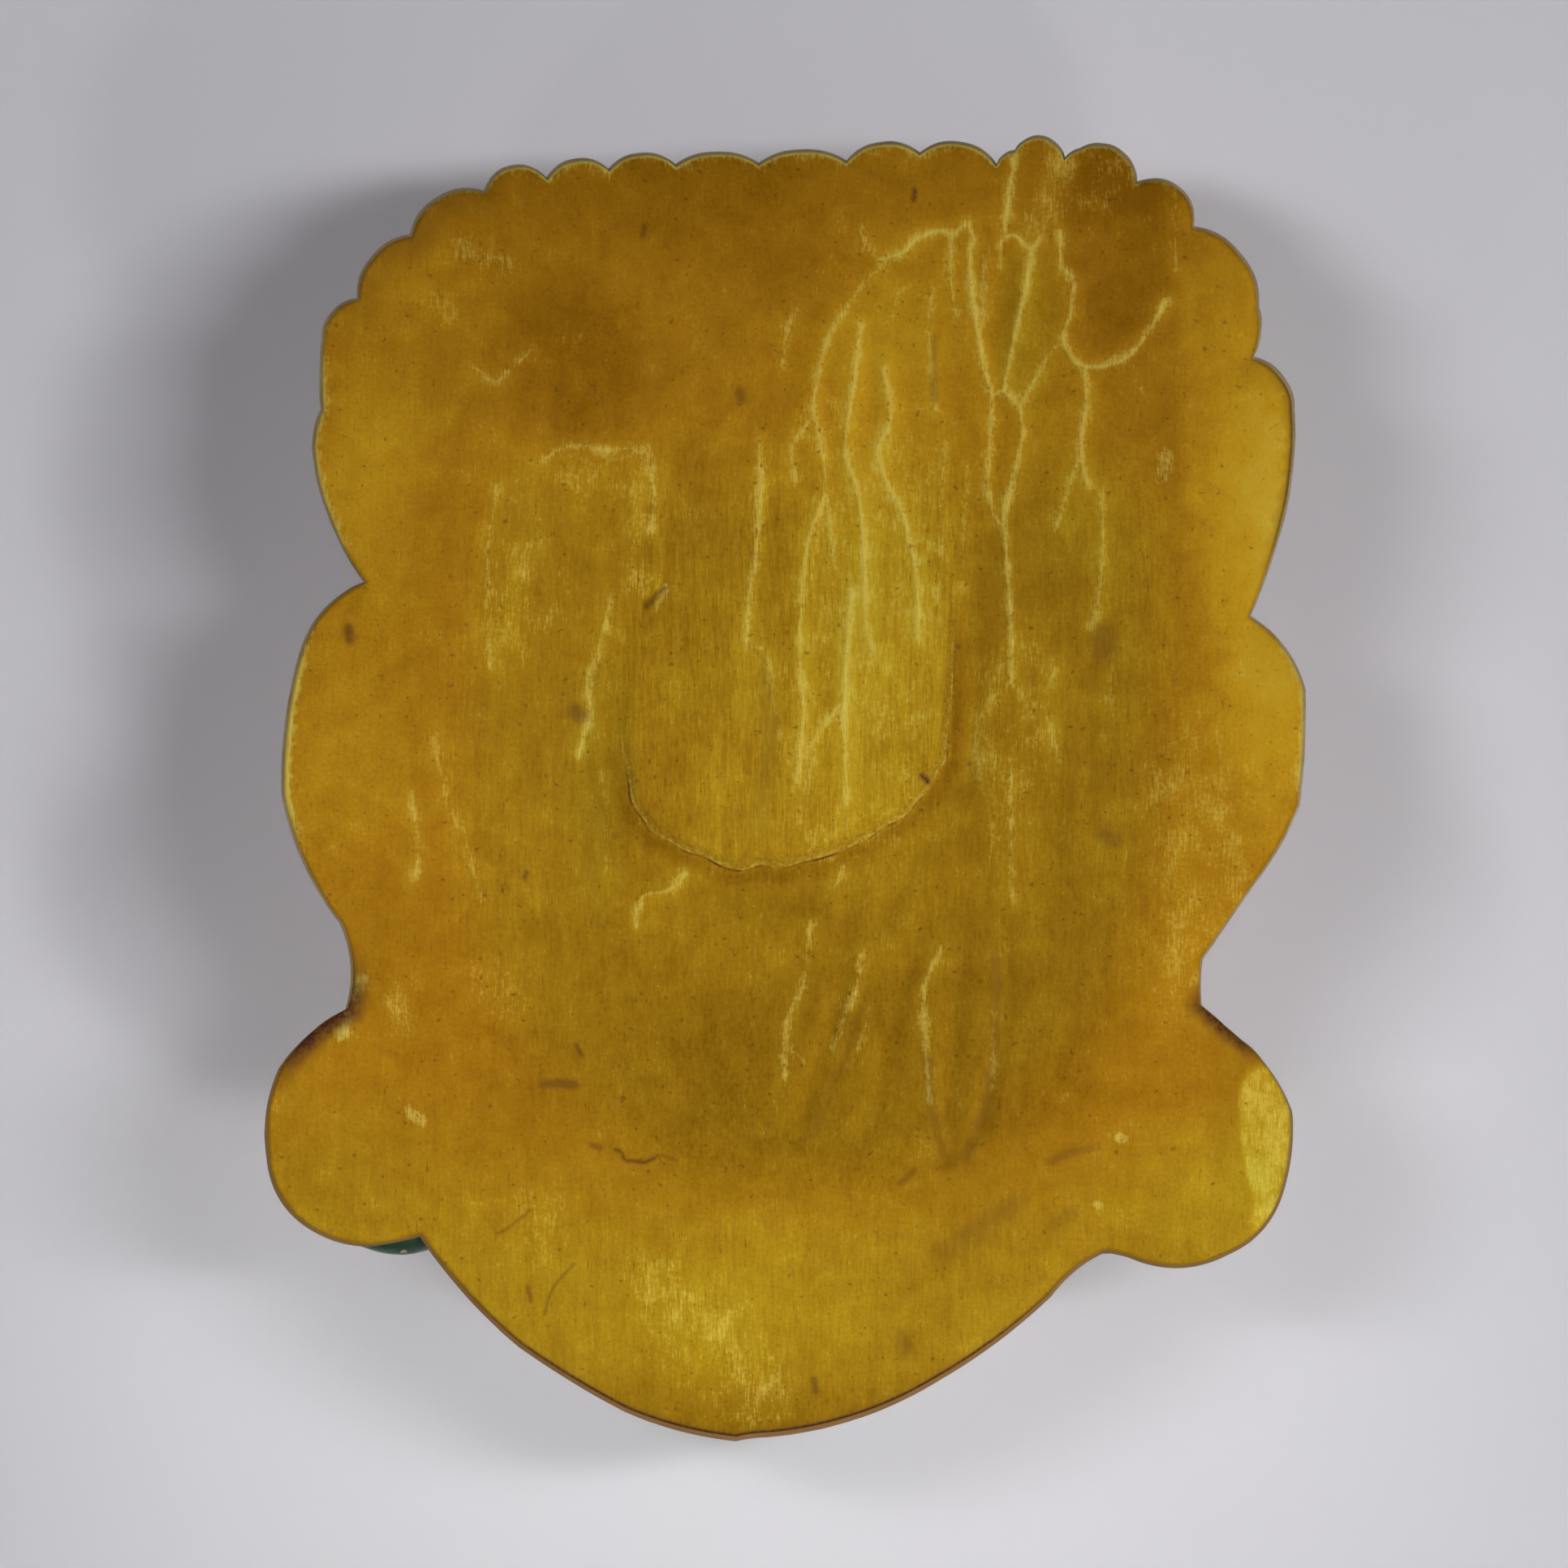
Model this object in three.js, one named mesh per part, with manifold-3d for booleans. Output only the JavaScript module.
// A carved wooden garuda mask that lies face down, with its hollow back up.
// Millimetres. +Z is up, out of the back, and +Y points to the crown.
// The origin is on the surface that the mask lies on, under the middle of the mask.
// "Depth" is always measured down from the rim of the back, towards the face.
import * as THREE from 'three';
import { mergeVertices } from 'three/addons/utils/BufferGeometryUtils.js';
import Module from 'manifold-3d';

const manifoldLibrary = await Module();
manifoldLibrary.setup();

// Driving dimensions of the whole mask.
const MASK_DEPTH = 72;
const EDGE_THICKNESS = 12;
const EDGE_FLARE = 1.9;
const GRID_STEP = 9;
const OUTLINE_STEP = 6;
const REACH_X = 126;
const REACH_Y = 160;

// The back: a flat rim to lie against a wall, a shallow dish, and a tongue left standing in the dish.
const RIM_LAND = 8;
const RIM_TRIM = 0.8;
const DISH = { depth: 17, run: 62 };
const TONGUE = { x: -3.6, y: 20, radius: 38, rise: 4.5, edge: 5, fadeFrom: 40, fadeTo: 88 };

// The front: a domed face with cheeks, ears and earrings, framed by a fan of petals.
const FACE = { y: -22, halfWidth: 92, halfHeight: 130, rise: 26 };
const CHEEK = { x: 43, y: -34, radius: 32, rise: 7 };
const EAR = { x: 103, y: 4, halfWidth: 13, halfHeight: 38, rise: 7 };
const EARRING = { x: 97, y: -79, radius: 17, rise: 7, boss: 7 };
const BEARD = { from: -96, to: -140, pitch: 15, rise: 3.5 };

// Two rows of petals frame the face: the outer row ends in the scalloped rim, the inner row stands on it.
const FAN_CENTRE_Y = 8;
const PETAL = { root: 0.84, tip: 0.97, depth: 15, halfHeight: 6, widthShare: 0.5, mostHalfWidth: 11 };
const INNER_ROW = { outer: 113, foot: 128, rise: 22, fadeAngle: 22 };

// The crown: an arched band that carries five leaves with jewels. The mask lies on the three middle jewels.
const BAND = { y: 2, radius: 92, halfWidth: 9, halfHeight: 9, endAngle: 16, endDepth: 22, topDepth: 38 };
const LEAVES = [
  { angle: 30, distance: 99, length: 27, face: 41 },
  { angle: 60, distance: 105, length: 33, face: 60 },
  { angle: 90, distance: 107, length: 38, face: 60 },
  { angle: 120, distance: 105, length: 33, face: 60 },
  { angle: 150, distance: 99, length: 27, face: 41 },
];
const LEAF_ROOT_DEPTH = 19;
const LEAF_ROOT_SPREAD = 1.35;
const LEAF_WIDTH_RATIO = 0.9;
const JEWEL = { radius: 9, rise: 12, height: 16, flatRadius: 5, shoulder: 5 };

// The face: eyes, a third eye, brows, a hooked beak and the snake that it holds.
const EYE = { x: 36, y: 17, radius: 16, flatness: 0.8, depth: 37, lid: 3.2 };
const THIRD_EYE = { y: 62, halfWidth: 7, halfHeight: 12, halfDepth: 7, depth: 38 };
const BROW_PATH = [[12, 34, 38], [26, 44, 44], [44, 46, 43], [62, 36, 34]];
const BROW_RADII = [[4, 4], [7, 6], [6, 5], [2.5, 2.5]];
const BEAK_PATH = [
  [0, 40, 33], [0, 22, 46], [0, 0, 54], [0, -20, 58.5], [0, -36, 56], [0, -46, 48], [0, -49, 41],
];
const BEAK_RADII = [[9, 8], [17, 13], [22, 17], [19, 15], [12, 11], [6, 7], [1.5, 2]];
const LOWER_BEAK_PATH = [[0, -40, 34], [0, -54, 42], [0, -66, 43]];
const LOWER_BEAK_RADII = [[17, 8], [14, 7], [5, 4]];
const SNAKE_PATH = [[61, -92, 26], [63, -72, 34], [50, -55, 42], [26, -50, 48], [0, -45, 49]];
const SNAKE_RADIUS = 6.5;

const GOLD_PAINT = { color: 0x957118, roughness: 0.5, metalness: 0.15 };

// The rim of the back, anticlockwise from the chin, as seen from behind. Each knot is a place on the rim
// and how far the arc from it to the next knot stands out.
const RIGHT_CHIN = [[-6, -149.6, -0.2], [1, -148.3, 2.5], [40, -133, 0.9], [64, -113, -1]];
const RIGHT_EARRING = [
  [75.6, -102.5, -0.3], [82.5, -103.8, 2.4], [103.6, -101.6, 2.3], [116.5, -86.3, 0.9], [117.6, -68, 0.9],
  [107.7, -54.2, 0],
];
const RIGHT_EAR = [
  [94.9, -45, -0.3], [94.6, -34.5, 0], [106.3, -15.5, 0.7], [115, 2, 0.5], [115, 28.5, 2.1],
];
const CROWN_PETALS = [
  [101.6, 44.7, 0.5], [108.3, 68, 0.9], [109.3, 92.5, 2.7], [99.4, 104.3, 1.1], [100, 116, 4.4],
  [84.2, 133.6, 5], [69.4, 143.9, 5.2], [53.9, 147.9, 4.7], [38.3, 145.6, 3.8], [20.6, 147.3, 3.4],
  [3.9, 144.5, 2.9], [-16.2, 142.9, 2.8], [-35.2, 141.6, 3.2], [-50.5, 139.8, 3.4], [-64.6, 137, 4.4],
  [-78.8, 133.3, 4.2], [-95.1, 122.3, 3.6], [-106.4, 107, 2.4], [-114, 97, 0.4], [-113.3, 81, 0.9],
  [-114.4, 69.5, 1.8],
];
const LEFT_EAR = [[-101.3, 41.9, 2.8], [-115.3, 24, 1.2], [-117.4, -8, 1.9], [-102.5, -36.5, -1.8]];
const LEFT_EARRING = [
  [-100.1, -56.1, 1.3], [-115.8, -70.4, 1.5], [-117, -91, 2.9], [-103.4, -107.7, 0.7], [-92, -109.9, 0.3],
];
const LEFT_CHIN = [[-80.4, -107, 1.2], [-56.5, -130.9, 0.5], [-31.5, -144.4, 1]];
const RIM_KNOTS = [
  ...RIGHT_CHIN, ...RIGHT_EARRING, ...RIGHT_EAR, ...CROWN_PETALS, ...LEFT_EAR, ...LEFT_EARRING, ...LEFT_CHIN,
];

// Places at which two petals of the fan meet: the cusps of the scalloped rim.
const PETAL_CUSPS = [
  [101.6, 44.7], [99.4, 104.3], [84.2, 133.6], [69.4, 143.9], [53.9, 147.9], [38.3, 145.6], [20.6, 147.3],
  [3.9, 144.5], [-16.2, 142.9], [-35.2, 141.6], [-50.5, 139.8], [-64.6, 137], [-78.8, 133.3], [-95.1, 122.3],
  [-106.4, 107], [-113.3, 81], [-101.3, 41.9],
];

const clamp01 = (value) => Math.min(Math.max(value, 0), 1);

function smoothstep(from, to, value) {
  const t = clamp01((value - from) / (to - from));
  return t * t * (3 - 2 * t);
}

// A round hill of height 1 with its foot at distance 1.
function hill(distance) {
  return distance < 1 ? Math.pow(1 - distance * distance, 0.6) : 0;
}

// Points of one arc, from its first knot up to, but not including, the next.
function arcPoints([x0, y0, bulge], [x1, y1]) {
  const chord = Math.hypot(x1 - x0, y1 - y0);
  const steps = Math.max(1, Math.round(chord / OUTLINE_STEP));
  const outward = new THREE.Vector2(y1 - y0, x0 - x1).divideScalar(chord);
  return Array.from({ length: steps }, (_, step) => {
    const t = step / steps;
    const rise = 4 * bulge * t * (1 - t);
    return new THREE.Vector2(x0 + (x1 - x0) * t + outward.x * rise, y0 + (y1 - y0) * t + outward.y * rise);
  });
}

const rim = RIM_KNOTS.flatMap((knot, index) => arcPoints(knot, RIM_KNOTS[(index + 1) % RIM_KNOTS.length]));

function distanceToRim(x, y) {
  let nearest = Infinity;
  rim.forEach((start, index) => {
    const end = rim[(index + 1) % rim.length];
    const dx = end.x - start.x;
    const dy = end.y - start.y;
    const t = clamp01(((x - start.x) * dx + (y - start.y) * dy) / (dx * dx + dy * dy));
    nearest = Math.min(nearest, Math.hypot(start.x + t * dx - x, start.y + t * dy - y));
  });
  return nearest;
}

function insideRim(x, y) {
  let inside = false;
  rim.forEach((start, index) => {
    const end = rim[(index + 1) % rim.length];
    const crosses = start.y > y !== end.y > y;
    if (crosses && x < start.x + ((end.x - start.x) * (y - start.y)) / (end.y - start.y)) {
      inside = !inside;
    }
  });
  return inside;
}

// Depth of the back: a little proud on the rim, which is trimmed flat later, deepest in the middle of the
// dish, and less on the tongue.
function backDepth(x, y) {
  const inset = insideRim(x, y) ? distanceToRim(x, y) : 0;
  const run = clamp01((inset - RIM_LAND) / DISH.run);
  const dish = DISH.depth * (1 - (1 - run) * (1 - run));
  const fromAxis = Math.hypot(x - TONGUE.x, Math.min(y - TONGUE.y, 0));
  const onTongue = smoothstep(0, TONGUE.edge, TONGUE.radius - fromAxis);
  const fade = 1 - smoothstep(TONGUE.fadeFrom, TONGUE.fadeTo, y);
  return dish - RIM_TRIM - TONGUE.rise * onTongue * fade;
}

// Height of the inner row of petals, which runs out above the ears.
function innerRowRise(x, y) {
  const angle = THREE.MathUtils.radToDeg(Math.atan2(y - FAN_CENTRE_Y, Math.abs(x)));
  const distance = Math.hypot(x, y - FAN_CENTRE_Y);
  const start = THREE.MathUtils.radToDeg(Math.atan2(PETAL_CUSPS[0][1] - FAN_CENTRE_Y, PETAL_CUSPS[0][0]));
  const ends = smoothstep(start, start + INNER_ROW.fadeAngle, angle);
  return INNER_ROW.rise * ends * (1 - smoothstep(INNER_ROW.outer, INNER_ROW.foot, distance));
}

// Depth of the front without the pieces that are joined on below.
function frontDepth(x, y) {
  const side = Math.abs(x);
  const face = FACE.rise * hill(Math.hypot(x / FACE.halfWidth, (y - FACE.y) / FACE.halfHeight));
  const cheek = CHEEK.rise * hill(Math.hypot(side - CHEEK.x, y - CHEEK.y) / CHEEK.radius);
  const ear = EAR.rise * hill(Math.hypot((side - EAR.x) / EAR.halfWidth, (y - EAR.y) / EAR.halfHeight));
  const earring = EARRING.rise * hill(Math.hypot(side - EARRING.x, y - EARRING.y) / EARRING.radius);
  const curls = Math.pow(Math.cos((Math.PI * x) / BEARD.pitch), 2);
  const beard = BEARD.rise * curls * smoothstep(BEARD.from, BEARD.from - 12, y);
  const body = Math.max(face + cheek, innerRowRise(x, y));
  return EDGE_THICKNESS + body + ear + earring + beard;
}

function geometryFrom(positions, indices) {
  const geometry = new THREE.BufferGeometry();
  geometry.setAttribute('position', new THREE.Float32BufferAttribute(positions, 3));
  geometry.setIndex(indices);
  return geometry;
}

// A closed slab whose top is the carved back and whose underside is the carved front, with straight sides.
function carvedSlab() {
  const columns = Math.round((2 * REACH_X) / GRID_STEP);
  const rows = Math.round((2 * REACH_Y) / GRID_STEP);
  const positions = [];
  const indices = [];
  for (const depthAt of [backDepth, frontDepth]) {
    for (let row = 0; row <= rows; row += 1) {
      for (let column = 0; column <= columns; column += 1) {
        const x = -REACH_X + (2 * REACH_X * column) / columns;
        const y = -REACH_Y + (2 * REACH_Y * row) / rows;
        positions.push(x, y, MASK_DEPTH - depthAt(x, y));
      }
    }
  }
  const layer = (columns + 1) * (rows + 1);
  const at = (row, column) => row * (columns + 1) + column;
  const quad = (a, b, c, d) => indices.push(a, b, c, a, c, d);
  for (let row = 0; row < rows; row += 1) {
    for (let column = 0; column < columns; column += 1) {
      const corners = [at(row, column), at(row, column + 1), at(row + 1, column + 1), at(row + 1, column)];
      quad(...corners);
      quad(...corners.reverse().map((corner) => corner + layer));
    }
  }
  const wall = (a, b) => quad(b, a, a + layer, b + layer);
  for (let column = 0; column < columns; column += 1) {
    wall(at(0, column), at(0, column + 1));
    wall(at(rows, column + 1), at(rows, column));
  }
  for (let row = 0; row < rows; row += 1) {
    wall(at(row, columns), at(row + 1, columns));
    wall(at(row + 1, 0), at(row, 0));
  }
  return geometryFrom(positions, indices);
}

// The outline as an upright block. Its side flares out from the rim of the back to the edge of the front.
function outlineBlock() {
  const shape = new THREE.Shape(rim);
  const geometry = new THREE.ExtrudeGeometry(shape, { depth: 2, steps: 2, bevelEnabled: false });
  const levels = [MASK_DEPTH - 3 * EDGE_THICKNESS, MASK_DEPTH - EDGE_THICKNESS, MASK_DEPTH + 1];
  const spread = [EDGE_FLARE, EDGE_FLARE, -EDGE_FLARE / EDGE_THICKNESS];
  const positions = geometry.attributes.position;
  for (let i = 0; i < positions.count; i += 1) {
    const level = Math.round(positions.getZ(i));
    const grow = 1 + spread[level] / REACH_X;
    positions.setXYZ(i, positions.getX(i) * grow, positions.getY(i) * grow, levels[level]);
  }
  return geometry;
}

// A closed body of oval rings along a smooth path. Path points are [x, y, depth]; each ring has a half-width
// across the face and a half-height away from it.
function ovalLoft(path, radii, rings, sides) {
  const centres = path.map(([x, y, depth]) => new THREE.Vector3(x, y, MASK_DEPTH - depth));
  const curve = new THREE.CatmullRomCurve3(centres);
  const halfSizes = radii.map(([width, height]) => new THREE.Vector3(width, height, 0));
  const sizes = new THREE.CatmullRomCurve3(halfSizes);
  const positions = [];
  const indices = [];
  const up = new THREE.Vector3(0, 0, 1);
  for (let ring = 0; ring <= rings; ring += 1) {
    const t = ring / rings;
    const centre = curve.getPoint(t);
    const tangent = curve.getTangent(t);
    const size = sizes.getPoint(t);
    const across = new THREE.Vector3().crossVectors(tangent, up).normalize();
    const away = new THREE.Vector3().crossVectors(across, tangent).normalize();
    for (let side = 0; side < sides; side += 1) {
      const angle = (2 * Math.PI * side) / sides;
      const point = centre.clone();
      point.addScaledVector(across, size.x * Math.cos(angle));
      point.addScaledVector(away, size.y * Math.sin(angle));
      positions.push(point.x, point.y, point.z);
    }
  }
  for (let ring = 0; ring < rings; ring += 1) {
    for (let side = 0; side < sides; side += 1) {
      const next = (side + 1) % sides;
      const a = ring * sides + side;
      const b = ring * sides + next;
      indices.push(a, b + sides, b, a, a + sides, b + sides);
    }
  }
  const last = rings * sides;
  for (let side = 1; side < sides - 1; side += 1) {
    indices.push(0, side, side + 1);
    indices.push(last, last + side + 1, last + side);
  }
  return geometryFrom(positions, indices);
}

function mirrored(path) {
  return path.map(([x, y, depth]) => [-x, y, depth]);
}

// The petals of the outer row: a long dome towards the middle of each scallop of the rim.
function outerPetals() {
  return PETAL_CUSPS.slice(1).map(([x1, y1], index) => {
    const [x0, y0] = PETAL_CUSPS[index];
    const middle = new THREE.Vector2((x0 + x1) / 2, (y0 + y1) / 2 - FAN_CENTRE_Y);
    const outward = middle.clone().normalize();
    const halfWidth = Math.min(PETAL.widthShare * Math.hypot(x1 - x0, y1 - y0), PETAL.mostHalfWidth);
    const along = (share) => {
      const distance = middle.length() * THREE.MathUtils.lerp(PETAL.root, PETAL.tip, share);
      return [outward.x * distance, FAN_CENTRE_Y + outward.y * distance, PETAL.depth];
    };
    const path = [along(0), along(0.5), along(0.85), along(1)];
    const radii = [1, 1, 0.8, 0.2].map((share) => [halfWidth * share, PETAL.halfHeight * share]);
    return ovalLoft(path, radii, 3, 8);
  });
}

function crownBand() {
  const path = [];
  for (let angle = BAND.endAngle; angle <= 180 - BAND.endAngle + 0.5; angle += (90 - BAND.endAngle) / 6) {
    const turn = THREE.MathUtils.degToRad(angle);
    const depth = THREE.MathUtils.lerp(BAND.endDepth, BAND.topDepth, Math.sin(turn));
    path.push([BAND.radius * Math.cos(turn), BAND.y + BAND.radius * Math.sin(turn), depth]);
  }
  return ovalLoft(path, path.map(() => [BAND.halfWidth, BAND.halfHeight]), 18, 8);
}

function leafShape(length) {
  const half = length / 2;
  const width = half * LEAF_WIDTH_RATIO;
  const shape = new THREE.Shape();
  shape.moveTo(-half, width * 0.75);
  shape.lineTo(-half, -width * 0.75);
  shape.bezierCurveTo(-half * 0.2, -width * 1.35, half * 0.35, -width * 0.9, half, 0);
  shape.bezierCurveTo(half * 0.35, width * 0.9, -half * 0.2, width * 1.35, -half, width * 0.75);
  return shape;
}

// A leaf of the crown with its flat-topped jewel.
function crownLeaf({ angle, distance, length, face }) {
  const turn = THREE.MathUtils.degToRad(angle);
  const x = distance * Math.cos(turn);
  const y = BAND.y + distance * Math.sin(turn);
  const thickness = face - LEAF_ROOT_DEPTH;
  const leaf = new THREE.ExtrudeGeometry(leafShape(length), {
    depth: thickness, bevelEnabled: false, curveSegments: 5,
  });
  const points = leaf.attributes.position;
  for (let i = 0; i < points.count; i += 1) {
    const spread = THREE.MathUtils.lerp(1, LEAF_ROOT_SPREAD, points.getZ(i) / thickness);
    points.setXY(i, points.getX(i) * spread, points.getY(i) * spread);
  }
  leaf.rotateZ(turn);
  leaf.translate(x, y, MASK_DEPTH - face);
  const profile = [
    new THREE.Vector2(0, 0),
    new THREE.Vector2(JEWEL.flatRadius, 0),
    new THREE.Vector2(JEWEL.radius, JEWEL.shoulder),
    new THREE.Vector2(JEWEL.radius, JEWEL.height),
    new THREE.Vector2(0, JEWEL.height),
  ];
  const jewel = new THREE.LatheGeometry(profile, 12);
  jewel.rotateX(Math.PI / 2);
  jewel.translate(x, y, MASK_DEPTH - face - JEWEL.rise);
  return [leaf, jewel];
}

function ellipsoid(x, y, depth, halfWidth, halfHeight, halfDepth, detail) {
  const geometry = new THREE.SphereGeometry(1, detail, Math.round(detail * 0.6));
  geometry.scale(halfWidth, halfHeight, halfDepth);
  geometry.translate(x, y, MASK_DEPTH - depth);
  return geometry;
}

function eyeAndLid(side) {
  const x = side * EYE.x;
  const ball = ellipsoid(x, EYE.y, EYE.depth, EYE.radius, EYE.radius, EYE.radius * EYE.flatness, 14);
  const lid = new THREE.TorusGeometry(EYE.radius + 1, EYE.lid, 5, 16);
  lid.translate(x, EYE.y, MASK_DEPTH - EYE.depth - 2);
  return [ball, lid];
}

function earringBoss(side) {
  const { x, y, boss } = EARRING;
  return ellipsoid(side * x, y, EDGE_THICKNESS + EARRING.rise + 2, boss, boss, boss, 12);
}

function snake() {
  const path = [...SNAKE_PATH, ...mirrored(SNAKE_PATH).reverse().slice(1)];
  return ovalLoft(path, path.map(() => [SNAKE_RADIUS, SNAKE_RADIUS]), 24, 6);
}

function faceDetails() {
  const { y, depth, halfWidth, halfHeight, halfDepth } = THIRD_EYE;
  const details = [
    ovalLoft(BEAK_PATH, BEAK_RADII, 16, 14),
    ovalLoft(LOWER_BEAK_PATH, LOWER_BEAK_RADII, 5, 10),
    snake(),
    ellipsoid(0, y, depth, halfWidth, halfHeight, halfDepth, 12),
  ];
  for (const side of [-1, 1]) {
    const browPath = side > 0 ? BROW_PATH : mirrored(BROW_PATH);
    details.push(ovalLoft(browPath, BROW_RADII, 8, 8), ...eyeAndLid(side), earringBoss(side));
  }
  return details;
}

function toSolid(geometry) {
  const bare = geometry.clone();
  bare.deleteAttribute('normal');
  bare.deleteAttribute('uv');
  const merged = mergeVertices(bare, 1e-4);
  return new manifoldLibrary.Manifold(new manifoldLibrary.Mesh({
    numProp: 3,
    vertProperties: new Float32Array(merged.attributes.position.array),
    triVerts: new Uint32Array(merged.index.array),
  }));
}

function toGeometry(solid) {
  const mesh = solid.getMesh();
  const geometry = geometryFrom(mesh.vertProperties, Array.from(mesh.triVerts));
  geometry.computeVertexNormals();
  return geometry;
}

// The block that the mask is cut from. Its underside leaves a small flat on the beak, level with the jewels,
// and its top leaves a flat rim that can lie against a wall.
function woodBlock() {
  const block = new THREE.BoxGeometry(2 * REACH_X, 2 * REACH_Y, MASK_DEPTH);
  block.translate(0, 0, MASK_DEPTH / 2);
  return block;
}

function carveMask() {
  let solid = toSolid(carvedSlab()).intersect(toSolid(outlineBlock()));
  const pieces = [crownBand(), ...outerPetals(), ...LEAVES.flatMap(crownLeaf), ...faceDetails()];
  for (const piece of pieces) {
    solid = solid.add(toSolid(piece));
  }
  return toGeometry(solid.intersect(toSolid(woodBlock())));
}

const mask = new THREE.Mesh(carveMask(), new THREE.MeshStandardMaterial(GOLD_PAINT));
mask.name = 'mask';
const middle = new THREE.Box3().setFromObject(mask).getCenter(new THREE.Vector3());
mask.position.set(-middle.x, -middle.y, 0);

const garudaMask = new THREE.Group();
garudaMask.add(mask);

export default garudaMask;
